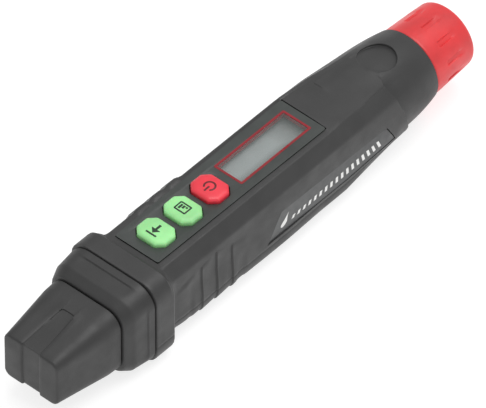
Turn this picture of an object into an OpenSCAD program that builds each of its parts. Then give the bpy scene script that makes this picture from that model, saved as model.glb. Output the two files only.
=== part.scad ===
// Pen-type two-pin moisture meter.
// The pen frame used by the sub-part modules has its origin on the pen's axis at the nose:
// +X runs from the nose to the tail, +Z is the display side and +Y the side away from the label.
// in_place() moves that frame so that the origin is below the middle of the pen, at its lowest point.

/* [Nose cap] */
// Length of the pull-off cap over the probe pins
nose_len = 25.55; // [25.2:0.05:25.8]
// Width and height of the cap's front end
nose_front = [21.3, 17.4]; // [16:0.1:24]
// Width and height of the cap's rear end
nose_rear = [27.6, 24.4]; // [24:0.1:28.4]
// Depth of the U-shaped recess that wraps the cap's front
nose_recess_depth = 0.7; // [0.3:0.1:1.2]
// How far the recess runs back along the cap
nose_recess_len = 17.5; // [10:0.5:20]

/* [Collar and head] */
// Length of the collar behind the nose cap
collar_len = 11.6; // [11.4:0.1:11.7]
// Width and height of the collar's rear end
collar_rear = [33.6, 31.6]; // [32:0.1:34]
// Length of the wide head of the housing
head_len = 8.8; // [8:0.1:9.5]
// Width of the head
head_w = 34.6; // [33:0.1:36]
// Height of the head's top above the pen's axis
head_top = 16.0; // [15.6:0.1:16.4]
// Depth of the head's underside below the pen's axis
head_bottom = 16.8; // [16:0.1:17.5]

/* [Body] */
// Length of the housing, head included
housing_len = 133.35; // [133:0.05:133.6]
// Width of the body in the hand grip
body_w = 28.2; // [27.6:0.1:28.8]
// Wall thickness of the housing shells
wall = 2.0; // [1.6:0.1:2.2]
// Height of the seam between the two shells, below the axis
split_z = -8.2; // [-9:0.1:-7.5]
// Radius of the body's end at the tail
tail_r = 12.75; // [12.7:0.05:13]
// Diameter of the round recess on top of the tail
thumb_recess_d = 12.4; // [8:0.1:14]

/* [Face panel] */
// Length of the face panel
panel_len = 75.6; // [75:0.1:76]
// Half width of the panel at its front and rear ends
panel_half_w = [8.4, 8.85]; // [8:0.05:9]
// Height of the panel's face above the axis
panel_top = 15.0; // [14.8:0.1:15.2]
// Size of the display's red trim frame along X and Y
lcd_frame_size = [31.7, 11.3]; // [10:0.1:32]
// Width of the trim frame's band
lcd_frame_band = 0.65; // [0.4:0.05:1]

/* [Buttons] */
// Size of a button along X and Y
button_size = [9.4, 11.6]; // [8:0.1:12.6]
// How far a button stands out of the panel
button_proud = 1.7; // [1:0.1:2]
// Travel of a button when it is pressed
button_travel = 0.7; // [0.4:0.1:0.8]
// Distance between neighbouring buttons
button_pitch = 12.1; // [11.5:0.1:12.2]

/* [Probe pins] */
// Radius of a probe pin
pin_r = 1.0; // [0.8:0.05:1.1]
// Distance between the two pins
pin_spacing = 13.0; // [12:0.5:13]
// Exposed length of a pin in front of its insulating base
pin_exposed = 13.0; // [10:0.5:13]

/* [Batteries and tail cap] */
// Length of an AAA cell
cell_len = 44.5; // [43.5:0.1:44.5]
// Radius of an AAA cell
cell_r = 5.25; // [5:0.05:5.25]
// Length of the tail cap behind the housing
tail_cap_len = 18.7; // [18:0.1:19]
// Radius of the tail cap at its front and rear ends
tail_cap_r = [12.4, 11.2]; // [11:0.1:12.6]
// Number of grip slots round the tail cap
grip_slots = 11; // [8:1:16]
// Length, width and depth of a grip slot
grip_slot = [6.6, 2.0, 0.4]; // [0.2:0.1:8]
// Length of the cap's threaded plug inside the housing
plug_len = 7.0; // [6.5:0.1:7]

/* [Hidden] */
$fn = 64;
ROUND = 32;
seam = 0.3;
collar_seam = 0.2;
skin = 0.01;

collar_x = nose_len + seam;
head_x = collar_x + collar_len + collar_seam;
tail_x = head_x + housing_len;
tail_cap_x = tail_x + seam;
overall_len = tail_cap_x + tail_cap_len;

panel_x = 47.8;
panel_t = 1.7;
panel_gap = 0.15;
floor_z = panel_top - panel_t - 0.1;
ceiling_z = 11.9;

button_x = [56.5, 56.5 + button_pitch, 56.5 + 2 * button_pitch];
button_chamfer = 2.4;
button_gap = 0.25;
button_flange = [10.6, 14.3, 1.0];
flange_z = 10.6;
switch_top = flange_z - button_travel - 0.4;

board_z = 5.3;
board_t = 1.6;
board_top = board_z + board_t;
board_x = [53.3, 127.2];
board_half_w = 11;
lcd_x = 104.65;
lcd_glass = [35.2, 13.6, 2.8];
lcd_glass_z = 8.95;
board_screws_at = [[62.6, 9.4], [62.6, -9.4], [125.3, 0]];
housing_screws_at = [[50, 9.4], [50, -9.4], [109, 9.7], [109, -9.7]];
housing_boss_r = 2.0;
screw_head = [-12.5, -11.2];

base_front_x = 17;
spigot = [22, 18.6];
base_mid = [25, 21.4];
base_rear_x = 41.5;
socket_r = 2.6;

cell_z = -1.5;
cell_y = 5.35;
cell_x = 118;
cradle_x = 113.5;
ring_x = [158, 169.4];
bore_r = 11.4;
plug_r = bore_r - 0.08;
plug_x = tail_x - plug_len;
plate_x = cell_x + cell_len + 0.8;
rivet_r = 1.0;

// Body cross-sections from the head to the tail: [x, width, top, bottom, corner radius]
BODY = [
    [46, body_w, 14.6, -13.5, 5.2],
    [90, body_w + 0.2, 14.7, -14.5, 5.6],
    [125, body_w + 0.2, 14.6, -14.4, 6.5],
    [150, body_w - 0.4, 14.3, -14.0, 10],
    [160, body_w - 1, 13.7, -13.7, 13],
    [tail_x, 2 * tail_r, tail_r, -tail_r, tail_r - 0.05]
];
CAVITY = [
    [44, body_w - 2 * wall, ceiling_z, -13.5 + wall, 4],
    [90, body_w + 0.2 - 2 * wall, ceiling_z, -14.5 + wall, 4.4],
    [125, body_w + 0.2 - 2 * wall, ceiling_z, -14.4 + wall, 5],
    [152, body_w - 4.8, 11.7, -11.7, 9]
];

// ---------- shared shapes ----------

module in_place() translate([-overall_len / 2, 0, head_bottom]) children();

module rod_x(x0, x1, r, y = 0, z = 0) {
    translate([x0, y, z]) rotate([0, 90, 0]) cylinder(h = x1 - x0, r = r);
}

module rod_z(z0, z1, r, x, y) {
    translate([x, y, z0]) cylinder(h = z1 - z0, r = r);
}

// Four thin discs at the corners of a cross-section [x, width, top, bottom, corner radius]
module corner_discs(s) {
    for (side = [-1, 1], z = [s[2] - s[4], s[3] + s[4]])
        translate([s[0], side * (s[1] / 2 - s[4]), z])
            rotate([0, 90, 0]) cylinder(h = skin, r = s[4], $fn = ROUND);
}

module loft(sections) {
    hull() for (s = sections) corner_discs(s);
}

// Rounded block along X, centred on the axis
module block_x(x0, x1, size, r) {
    for (y = [-1, 1], z = [-1, 1])
        rod_x(x0, x1, r, y * (size[0] / 2 - r), z * (size[1] / 2 - r));
    translate([x0, -size[0] / 2, -size[1] / 2 + r]) cube([x1 - x0, size[0], size[1] - 2 * r]);
    translate([x0, -size[0] / 2 + r, -size[1] / 2]) cube([x1 - x0, size[0] - 2 * r, size[1]]);
}

module octagon(size, c) {
    a = size[0] / 2;
    b = size[1] / 2;
    polygon([[a, b - c], [a - c, b], [c - a, b], [-a, b - c], [-a, c - b], [c - a, -b], [a - c, -b], [a, c - b]]);
}

module plate_xy(x0, x1, half_w, z0, z1) {
    translate([x0, -half_w, z0]) cube([x1 - x0, 2 * half_w, z1 - z0]);
}

// Round wire that follows a list of points and never runs along the reference direction
module wire(points, r, sides = 8, reference = [0, 1, 0]) {
    n = len(points);
    function heading(i) = points[min(i + 1, n - 1)] - points[max(i - 1, 0)];
    function ring(i) = let (
        d = heading(i) / norm(heading(i)),
        across = cross(reference, d) / norm(cross(reference, d)),
        side = cross(d, across)
    ) [for (k = [0 : sides - 1]) points[i] + r * (cos(360 * k / sides) * across + sin(360 * k / sides) * side)];
    polyhedron(
        points = [for (i = [0 : n - 1]) each ring(i)],
        faces = concat(
            [[for (k = [sides - 1 : -1 : 0]) k]],
            [[for (k = [0 : sides - 1]) (n - 1) * sides + k]],
            [for (i = [0 : n - 2], k = [0 : sides - 1]) let (m = (k + 1) % sides)
                [i * sides + k, i * sides + m, (i + 1) * sides + m, (i + 1) * sides + k]]
        )
    );
}

// ---------- nose and probe ----------

module nose_outer(inset = 0) {
    w = nose_front[0] - 2 * inset;
    h = nose_front[1] / 2 - inset;
    w2 = nose_rear[0] - 2 * inset;
    h2 = nose_rear[1] / 2 - inset;
    loft([
        [inset, w - 1.6, h - 0.8, 0.8 - h, 1.6],
        [inset + 0.9, w + 0.2, h + 0.1, -h - 0.1, 2.4],
        [21, w2 - 0.4, h2 - 0.2, 0.2 - h2, 5],
        [nose_len - skin, w2, h2, -h2, 5.2]
    ]);
}

module pin_cap() color("#4b4b4b") in_place() difference() {
    nose_outer();
    loft([[2.2, 17.4, 6.5, -6.5, 3], [base_front_x, 21.8, 9.1, -9.1, 4]]);
    block_x(base_front_x - 0.6, nose_len + 1, spigot + [0.4, 0.4], 4.2);
    difference() {
        translate([0, 0, -20]) linear_extrude(40)
            polygon([[-1, 3.3], [nose_recess_len, 2.45], [nose_recess_len, -2.45], [-1, -3.3]]);
        nose_outer(nose_recess_depth);
    }
}

module front_collar() color("#4d4d4d") in_place() difference() {
    union() {
        loft([
            [collar_x, 29.2, 12.9, -13.2, 5.6],
            [collar_x + 3.6, 32.0, 14.6, -15.2, 6.2],
            [collar_x + collar_len - skin, collar_rear[0], 15.5, 15.5 - collar_rear[1], 6.6]
        ]);
        block_x(collar_x + collar_len - 1, base_rear_x, [29, 26.6], 4.4);
    }
    block_x(collar_x - 1, base_rear_x + 1, base_mid + [0.2, 0.2], 4.1);
}

module pin_base() color("#2e2e30") in_place() difference() {
    union() {
        block_x(base_front_x, collar_x + 0.4, spigot, 4);
        block_x(collar_x + 0.4, base_rear_x + 0.1, base_mid, 4);
        block_x(base_rear_x + 0.1, base_rear_x + 2, [26.6, 23.6], 4);
    }
    for (side = [-1, 1]) {
        rod_x(base_front_x - 1, base_rear_x + 3, socket_r + 0.05, side * pin_spacing / 2);
    }
    // slot between the pins that lengthens the surface path from one to the other
    translate([base_front_x - 1, -1.5, -5]) cube([3, 3, 10]);
}

module probe_pin(side) color("#c9ccd0") in_place() {
    tip_x = base_front_x - pin_exposed;
    translate([tip_x, side * pin_spacing / 2, 0]) rotate([0, 90, 0])
        rotate_extrude() polygon([[0, 0], [0.15, 0], [pin_r, 5], [pin_r, 30], [0, 30]]);
}
module probe_pin_left() probe_pin(1);
module probe_pin_right() probe_pin(-1);

module pin_nuts() color("#c8a24a") in_place() for (side = [-1, 1])
    translate([base_front_x - 2.15, side * pin_spacing / 2, 0]) rotate([0, 90, 0]) difference() {
        cylinder(h = 2, r = 2.6, $fn = 6);
        translate([0, 0, -1]) cylinder(h = 4, r = pin_r + 0.04, $fn = 64);
    }

module pin_socket(side) color("#c8a24a") in_place() difference() {
    rod_x(base_front_x + 0.1, base_rear_x + 2.6, socket_r, side * pin_spacing / 2);
    rod_x(base_front_x - 1, base_front_x + 18, pin_r + 0.04, side * pin_spacing / 2);
}
module pin_socket_left() pin_socket(1);
module pin_socket_right() pin_socket(-1);

module probe_wires() color("#b03030") in_place() for (side = [-1, 1])
    wire([[44.2, side * 6.5, 0], [46.5, side * 6.5, 0], [49, side * 6, 0.8], [51.5, side * 5, 2.4],
        [54, side * 4.5, 3.8], [57, side * 4.5, 4.55]], 0.6);

// ---------- housing ----------

module head_outer() {
    translate([0, 0, (head_top - head_bottom) / 2]) {
        block_x(head_x, head_x + head_len - 2, [head_w, head_top + head_bottom], 6.5);
        block_x(head_x + 1, head_x + head_len, [head_w - 3, head_top + head_bottom - 2], 6);
    }
}

// Side window that the label fills, as a prism across the near wall
module label_prism(grow = 0) {
    rotate([90, 0, 0]) linear_extrude(20)
        polygon([[97.5 - grow, 2.3 + grow], [145.3 + grow, 1.6 + grow],
            [150.4 + grow, -6.9 - grow], [90.5 - grow, -6.9 - grow]]);
}

// Rear part of the body, taken in on every side
module body_inset(inset) {
    loft([for (s = BODY) if (s[0] > 60)
        [s[0], s[1] - 2 * inset, s[2] - inset, s[3] + inset, s[4] - inset]]);
}

module housing_solid() {
    head_outer();
    loft(BODY);
}

module housing_cavity() {
    block_x(head_x - 1, head_x + head_len - 1.2, [29.2, 26.8], 4.4);
    loft(CAVITY);
    rod_x(150, tail_x + 1, bore_r + 0.1);
    rod_x(ring_x[0] - 0.05, ring_x[1] + 0.05, bore_r + 0.85);
}

module grip_grooves() {
    for (x = [61.3, 68, 75], side = [-1, 1])
        rod_z(-12, 4.5, 1.2, x, side * (body_w / 2 + 0.7));
}

module panel_outline(grow = 0) {
    polygon([[panel_x - grow, panel_half_w[0] + grow], [panel_x + panel_len + grow, panel_half_w[1] + grow],
        [panel_x + panel_len + grow, -panel_half_w[1] - grow], [panel_x - grow, -panel_half_w[0] - grow]]);
}

module top_shell() color("#525252") in_place() difference() {
    union() {
        intersection() {
            difference() {
                housing_solid();
                housing_cavity();
            }
            translate([0, -30, split_z + 0.05]) cube([200, 60, 40]);
        }
        for (p = housing_screws_at) rod_z(split_z + 0.05, ceiling_z + 0.1, housing_boss_r, p[0], p[1]);
        for (p = board_screws_at) rod_z(board_top + 0.05, ceiling_z + 0.1, 1.9, p[0], p[1]);
    }
    translate([0, 0, floor_z]) linear_extrude(10) panel_outline(panel_gap);
    for (x = button_x) translate([x, 0, 5]) linear_extrude(20)
        octagon(button_size + [2, 2] * button_gap, button_chamfer);
    plate_xy(lcd_x - 16.4, lcd_x + 16.4, 6.3, 8, 20);
    difference() {
        translate([157, 0, 5]) cylinder(h = 20, d = thumb_recess_d);
        body_inset(0.7);
    }
    for (p = housing_screws_at) rod_z(split_z - 1, 1, 1.45, p[0], p[1]);
    for (p = board_screws_at) rod_z(board_top - 1, 11, 0.95, p[0], p[1]);
    grip_grooves();
    difference() {
        label_prism(0.1);
        body_inset(0.65);
    }
}

module bottom_shell() color("#505050") in_place() difference() {
    union() {
        intersection() {
            difference() {
                housing_solid();
                housing_cavity();
            }
            translate([0, -30, split_z - 40.05]) cube([200, 60, 40]);
        }
        intersection() {
            loft(BODY);
            for (p = housing_screws_at) rod_z(-15, split_z - 0.05, 3.6, p[0], p[1]);
        }
    }
    for (p = housing_screws_at) {
        rod_z(-20, split_z + 1, 1.6, p[0], p[1]);
        rod_z(-20, screw_head[1] + 0.05, 2.5, p[0], p[1]);
    }
    grip_grooves();
}

module housing_screws() color("#8f9296") in_place() for (p = housing_screws_at) {
    rod_z(screw_head[0], screw_head[1], 2.2, p[0], p[1]);
    rod_z(screw_head[1] - 0.1, -0.5, 1.4, p[0], p[1]);
}

module side_label() color("#6f7173") in_place() intersection() {
    label_prism();
    difference() {
        body_inset(0.1);
        body_inset(0.6);
    }
}

// ---------- face panel and display ----------

module face_panel() color("#515458") in_place() difference() {
    translate([0, 0, floor_z + 0.1]) linear_extrude(panel_t) panel_outline();
    for (x = button_x) translate([x, 0, 0]) linear_extrude(30)
        octagon(button_size + [2, 2] * button_gap, button_chamfer);
    plate_xy(lcd_x - lcd_frame_size[0] / 2 - 0.1, lcd_x + lcd_frame_size[0] / 2 + 0.1,
        lcd_frame_size[1] / 2 + 0.1, 0, 30);
}

module lcd_frame() color("#b3262e") in_place() difference() {
    plate_xy(lcd_x - lcd_frame_size[0] / 2, lcd_x + lcd_frame_size[0] / 2,
        lcd_frame_size[1] / 2, floor_z + 0.1, panel_top + 0.05);
    plate_xy(lcd_x - lcd_frame_size[0] / 2 + lcd_frame_band, lcd_x + lcd_frame_size[0] / 2 - lcd_frame_band,
        lcd_frame_size[1] / 2 - lcd_frame_band, 0, 30);
}

module lcd_window() color("#c8d4d2", 0.4) in_place()
    plate_xy(lcd_x - lcd_frame_size[0] / 2 + lcd_frame_band + 0.1,
        lcd_x + lcd_frame_size[0] / 2 - lcd_frame_band - 0.1,
        lcd_frame_size[1] / 2 - lcd_frame_band - 0.1, floor_z + 0.1, panel_top - 0.15);

module lcd_module() color("#8b9792") in_place()
    plate_xy(lcd_x - lcd_glass[0] / 2, lcd_x + lcd_glass[0] / 2, lcd_glass[1] / 2,
        lcd_glass_z, lcd_glass_z + lcd_glass[2]);

module lcd_carrier() color("#e6e6e2") in_place() difference() {
    plate_xy(lcd_x - lcd_glass[0] / 2 - 0.7, lcd_x + lcd_glass[0] / 2 + 0.7, lcd_glass[1] / 2 + 0.9,
        board_top + 0.05, lcd_glass_z + 2.7);
    plate_xy(lcd_x - lcd_glass[0] / 2 - 0.1, lcd_x + lcd_glass[0] / 2 + 0.1, lcd_glass[1] / 2 + 0.1, 0, 30);
}

module lcd_contact_strips() color("#d88a8a") in_place() for (side = [-1, 1])
    translate([lcd_x - 15, side * 6.3 - 0.4, board_top + 0.05]) cube([30, 0.8, lcd_glass_z - board_top - 0.1]);

module backlight() color("#f2f2ee") in_place()
    plate_xy(lcd_x - 16, lcd_x + 16, 5.7, board_top + 0.1, lcd_glass_z - 0.1);

// ---------- buttons ----------

module button(x, shade) color(shade) in_place() translate([x, 0, 0]) {
    hull() {
        translate([0, 0, flange_z + 0.5]) linear_extrude(panel_top + 0.9 - flange_z - 0.5)
            octagon(button_size, button_chamfer);
        translate([0, 0, flange_z + 1]) linear_extrude(panel_top + button_proud - flange_z - 1)
            octagon(button_size - [1.6, 1.6], button_chamfer - 0.6);
    }
    translate([-button_flange[0] / 2, -button_flange[1] / 2, flange_z]) cube(button_flange);
}
module max_button() button(button_x[0], "#80e07d");
module mode_button() button(button_x[1], "#80e07d");
module power_button() button(button_x[2], "#f0404a");

module tact_switch(x) in_place() {
    color("#2a2a2a") translate([x - 3, -3, board_top + 0.05]) cube([6, 6, 2.05]);
    color("#d9c8a0") rod_z(board_top + 2, switch_top, 1.7, x, 0);
}
module max_switch() tact_switch(button_x[0]);
module mode_switch() tact_switch(button_x[1]);
module power_switch() tact_switch(button_x[2]);

// ---------- electronics ----------

module main_board() color("#1f6b3a") in_place() difference() {
    union() {
        plate_xy(board_x[0], 123, board_half_w, board_z, board_top);
        plate_xy(120, board_x[1], 7.2, board_z, board_top);
    }
    for (p = board_screws_at) rod_z(0, 20, 1.1, p[0], p[1]);
    for (p = housing_screws_at) if (p[0] > 60) rod_z(0, 20, housing_boss_r + 0.3, p[0], p[1]);
}

module board_screws() color("#9a9da1") in_place() for (p = board_screws_at) {
    rod_z(board_z - 1.35, board_z - 0.05, 1.6, p[0], p[1]);
    rod_z(board_z - 0.1, 10.5, 0.9, p[0], p[1]);
}

module controller_chip() color("#1c1c1e") in_place()
    plate_xy(69, 79, 5, board_z - 1.45, board_z - 0.05);

module buzzer() color("#222224") in_place() difference() {
    rod_z(board_z - 5.6, board_z - 0.05, 5.5, 97, 0);
    rod_z(board_z - 7, board_z - 4.2, 1, 97, 0);
}

// ---------- batteries ----------

module battery_cradle() color("#3a3a3c") in_place() difference() {
    union() {
        intersection() {
            rod_x(cradle_x, cell_x + cell_len - 0.6, bore_r - 0.25);
            translate([cradle_x - 1, -15, -15]) cube([60, 30, 15 + cell_z - 1]);
        }
        intersection() {
            rod_x(cradle_x, cradle_x + 2, bore_r - 0.25);
            translate([cradle_x - 1, -15, -15]) cube([60, 30, 15 + 3.6]);
        }
    }
    for (side = [-1, 1]) rod_x(cradle_x + 2, 200, cell_r + 0.1, side * cell_y, cell_z);
}

module cell(side, nub_first) in_place() {
    nub = 0.9;
    x0 = cell_x + (nub_first ? nub : 0);
    nub_x = nub_first ? cell_x : cell_x + cell_len - nub - skin;
    color("#3d6ea8") rod_x(x0, x0 + cell_len - nub, cell_r, side * cell_y, cell_z);
    color("#c9ccd0") rod_x(nub_x, nub_x + nub + skin, 1.9, side * cell_y, cell_z);
}
module battery_left() cell(1, true);
module battery_right() cell(-1, false);

module positive_contact() color("#c9ccd0") in_place() {
    rod_x(cradle_x + 2.05, cradle_x + 2.5, 4, cell_y, cell_z);
    rod_x(cradle_x + 2.4, cell_x - 0.05, 1.6, cell_y, cell_z);
}

module negative_spring() color("#c9ccd0") in_place() {
    turns = 3;
    steps = 48;
    x0 = cradle_x + 2.4;
    rise = cell_x - 0.4 - x0;
    wire([for (i = [0 : steps]) let (t = i / steps, a = 360 * turns * t, r = 3.6 - 1.8 * t)
        [x0 + rise * t, -cell_y + r * cos(a), cell_z + r * sin(a)]], 0.24, 6, [1, 0, 0]);
}

module battery_wires() color("#222222") in_place() for (side = [-1, 1])
    wire([[cradle_x - 0.1, side * 5, 0], [cradle_x - 2, side * 5, 0], [cradle_x - 4, side * 4.6, 0.8],
        [cradle_x - 5.4, side * 4, 2.6], [cradle_x - 7, side * 3.6, 4.2], [cradle_x - 9, side * 3.5, 4.6]], 0.6);

// ---------- tail ----------

module thread_ring() color("#3a3a3c") in_place() difference() {
    rod_x(ring_x[0], ring_x[1], bore_r + 0.8);
    rod_x(ring_x[0] - 1, ring_x[1] + 1, bore_r);
}

module cap_contact_plate() color("#c9ccd0") in_place() difference() {
    union() {
        rod_x(plate_x, plate_x + 0.5, 10.4);
        for (side = [-1, 1]) rod_x(plate_x - 0.75, plate_x + 0.1, 1.5, side * cell_y, cell_z);
    }
    rod_x(plate_x - 1, plate_x + 1, rivet_r + 0.06);
}

module plate_rivet() color("#8f9296") in_place() {
    rod_x(plate_x - 0.55, plate_x - 0.15, 2);
    rod_x(plate_x - 0.2, plug_x + 5, rivet_r);
}

module cap_seal() color("#1d1d1e") in_place() {
    translate([tail_x - 1, 0, 0]) rotate([0, 90, 0])
        rotate_extrude() translate([plug_r - 0.5, 0]) circle(r = 0.48);
}

module tail_cap() color("#e8484f") in_place() difference() {
    union() {
        translate([tail_cap_x, 0, 0]) rotate([0, 90, 0]) rotate_extrude() polygon([
            [0, 0], [tail_cap_r[0] - 0.3, 0], [tail_cap_r[0], 0.3],
            [tail_cap_r[1] + 0.1, tail_cap_len - 2.2], [tail_cap_r[1] - 0.5, tail_cap_len - 0.8],
            [tail_cap_r[1] - 1.6, tail_cap_len - 0.2], [0, tail_cap_len]
        ]);
        rod_x(plug_x, tail_cap_x + 0.1, plug_r);
    }
    difference() {
        rod_x(plug_x - 1, tail_cap_x + tail_cap_len - 3, 9.2);
        rod_x(plug_x, tail_cap_x + tail_cap_len, 3);
    }
    rod_x(plug_x - 1, plug_x + 6, rivet_r + 0.03);
    difference() {
        rod_x(tail_x - 1.55, tail_x - 0.45, plug_r + 1);
        rod_x(tail_x - 2, tail_x, plug_r - 1);
    }
    for (k = [0 : grip_slots - 1])
        rotate([6.3 + 360 * k / grip_slots, 0, 0])
            translate([tail_cap_x + 5.5, -grip_slot[1] / 2, tail_cap_r[0] - 0.5 - grip_slot[2]])
                cube([grip_slot[0], grip_slot[1], 3]);
}

pin_cap();
front_collar();
pin_base();
probe_pin_left();
probe_pin_right();
pin_nuts();
pin_socket_left();
pin_socket_right();
probe_wires();
top_shell();
bottom_shell();
housing_screws();
side_label();
face_panel();
lcd_frame();
lcd_window();
lcd_module();
lcd_carrier();
lcd_contact_strips();
backlight();
max_button();
mode_button();
power_button();
max_switch();
mode_switch();
power_switch();
main_board();
board_screws();
controller_chip();
buzzer();
battery_cradle();
battery_left();
battery_right();
positive_contact();
negative_spring();
battery_wires();
thread_ring();
cap_contact_plate();
plate_rivet();
cap_seal();
tail_cap();
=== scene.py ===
"""Looks of a pen-type two-pin moisture meter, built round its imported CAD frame.

Shapes are worked out in the pen frame: millimetres, X from the nose to the tail, Z up through the
display, Y away from the label, with the origin on the axis at the nose. pen() turns that into the row frame.
"""

from math import acos, asin, ceil, copysign, cos, pi, radians, sin, sqrt, tan

import bmesh
import bpy
import numpy as np
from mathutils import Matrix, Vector
from mathutils.bvhtree import BVHTree


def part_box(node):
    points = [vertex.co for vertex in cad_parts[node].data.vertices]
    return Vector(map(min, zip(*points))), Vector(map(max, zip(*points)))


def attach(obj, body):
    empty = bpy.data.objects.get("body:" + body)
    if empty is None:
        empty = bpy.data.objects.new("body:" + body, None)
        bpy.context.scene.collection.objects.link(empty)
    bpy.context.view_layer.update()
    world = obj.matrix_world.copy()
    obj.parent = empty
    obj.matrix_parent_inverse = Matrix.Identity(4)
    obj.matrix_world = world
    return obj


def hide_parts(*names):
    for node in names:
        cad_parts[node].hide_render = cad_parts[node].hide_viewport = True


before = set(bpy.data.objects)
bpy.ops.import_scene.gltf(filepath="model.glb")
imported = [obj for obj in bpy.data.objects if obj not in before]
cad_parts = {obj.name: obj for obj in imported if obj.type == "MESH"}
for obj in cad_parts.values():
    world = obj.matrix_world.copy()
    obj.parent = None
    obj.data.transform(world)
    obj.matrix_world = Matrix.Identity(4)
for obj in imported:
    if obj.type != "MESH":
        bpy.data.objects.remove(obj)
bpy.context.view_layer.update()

# ---------- the pen frame ----------

MM = 0.001
NOSE_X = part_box("pin_cap")[0].x
AXIS_Z = (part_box("pin_cap")[0].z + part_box("pin_cap")[1].z) / 2
NEAR, FAR = -1, 1
TINY = 0.02


def pen(x, y, z):
    """A pen-frame point as a row-frame point."""
    return (NOSE_X + x * MM, y * MM, AXIS_Z + z * MM)


def span(node, axis):
    """Lowest and highest pen-frame coordinate of a CAD node along axis 0, 1 or 2."""
    origin = (NOSE_X, 0.0, AXIS_Z)[axis]
    return tuple((corner[axis] - origin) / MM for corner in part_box(node))


CAP_REAR = span("pin_cap", 0)[1]
COLLAR_FRONT = span("front_collar", 0)[0]
HEAD_FRONT, HOUSING_REAR = span("top_shell", 0)
HEAD_TOP = span("top_shell", 2)[1]
HEAD_HALF = span("top_shell", 1)[1]
HEAD_BOTTOM = span("bottom_shell", 2)[0]
SPLIT_Z = (span("top_shell", 2)[0] + span("bottom_shell", 2)[1]) / 2
PANEL_FRONT, PANEL_REAR = span("face_panel", 0)
PANEL_LOW, PANEL_TOP = span("face_panel", 2)
FLOOR_Z = PANEL_LOW - 0.1
BUTTONS = ("max_button", "mode_button", "power_button")
KEY_SLOTS = ("button_green", "button_green", "button_red")
BUTTON_X = [sum(span(name, 0)) / 2 for name in BUTTONS]
BUTTON_TOP = span("max_button", 2)[1]
TAIL_END = span("tail_cap", 0)[1]

# ---------- materials ----------


def linear(code):
    """Linear colour of a hex sRGB code."""
    parts = [int(code[i:i + 2], 16) / 255 for i in (1, 3, 5)]
    return tuple(p / 12.92 if p <= 0.04045 else ((p + 0.055) / 1.055) ** 2.4 for p in parts) + (1.0,)


class Nodes:
    """A material's node tree with short calls for making and joining nodes."""

    def __init__(self, name):
        self.material = bpy.data.materials.new(name)
        self.material.use_nodes = True
        self.tree = self.material.node_tree
        self.shader = self.tree.nodes["Principled BSDF"]
        self.place = self.add("ShaderNodeTexCoord").outputs["Object"]

    def add(self, kind, **settings):
        node = self.tree.nodes.new(kind)
        for key, value in settings.items():
            if key in node.inputs:
                node.inputs[key].default_value = value
            else:
                setattr(node, key, value)
        return node

    def join(self, output, node, socket):
        self.tree.links.new(output, node.inputs[socket])

    def noise(self, size_mm, detail=3.0, rough=0.5):
        node = self.add("ShaderNodeTexNoise", Scale=1 / (size_mm * MM), Detail=detail, Roughness=rough)
        self.join(self.place, node, "Vector")
        return node.outputs["Fac"]

    def cells(self, size_mm):
        node = self.add("ShaderNodeTexVoronoi", Scale=1 / (size_mm * MM))
        self.join(self.place, node, "Vector")
        return node.outputs["Distance"]

    def remap(self, source, low, high, start=0.0, end=1.0):
        limits = {"From Min": start, "From Max": end, "To Min": low, "To Max": high}
        node = self.add("ShaderNodeMapRange", **limits)
        self.join(source, node, "Value")
        return node.outputs["Result"]

    def math(self, operation, a, b):
        node = self.add("ShaderNodeMath", operation=operation)
        for index, value in enumerate((a, b)):
            if isinstance(value, (int, float)):
                node.inputs[index].default_value = value
            else:
                self.tree.links.new(value, node.inputs[index])
        return node.outputs["Value"]

    def mix(self, share, first, second):
        node = self.add("ShaderNodeMix", data_type="RGBA")
        for socket, value in (("A", first), ("B", second)):
            target = [s for s in node.inputs if s.name == socket and s.type == "RGBA"][0]
            if isinstance(value, tuple):
                target.default_value = value
            else:
                self.tree.links.new(value, target)
        self.tree.links.new(share, node.inputs[0])
        return [s for s in node.outputs if s.type == "RGBA"][0]

    def axes(self):
        node = self.add("ShaderNodeSeparateXYZ")
        self.join(self.place, node, "Vector")
        return node.outputs

    def tint(self, share, first, second):
        self.join(self.mix(share, first, second), self.shader, "Base Color")

    def settle(self, levels):
        for socket, value in levels.items():
            self.shader.inputs[socket].default_value = value

    def gloss(self, source, low, high, start=0.3, end=0.7):
        self.join(self.remap(source, low, high, start, end), self.shader, "Roughness")

    def bump(self, height, depth_mm):
        node = self.add("ShaderNodeBump", Strength=1.0, Distance=depth_mm * MM)
        self.join(height, node, "Height")
        previous = self.shader.inputs["Normal"]
        if previous.is_linked:
            self.join(previous.links[0].from_socket, node, "Normal")
        self.tree.links.new(node.outputs["Normal"], previous)

    def edges(self):
        """0 on flat places, 1 on worn outer edges."""
        place = self.add("ShaderNodeNewGeometry").outputs["Pointiness"]
        return self.remap(place, 0.0, 1.0, 0.505, 0.56)


BLEED = (1.0, 0.4, 0.3)
WHITE = (1, 1, 1, 1)


def toned(colour, factor, lift=0.0):
    """A lighter or darker version of a linear colour."""
    return tuple(min(1.0, c * factor + lift) for c in colour[:3]) + (1.0,)


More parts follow.
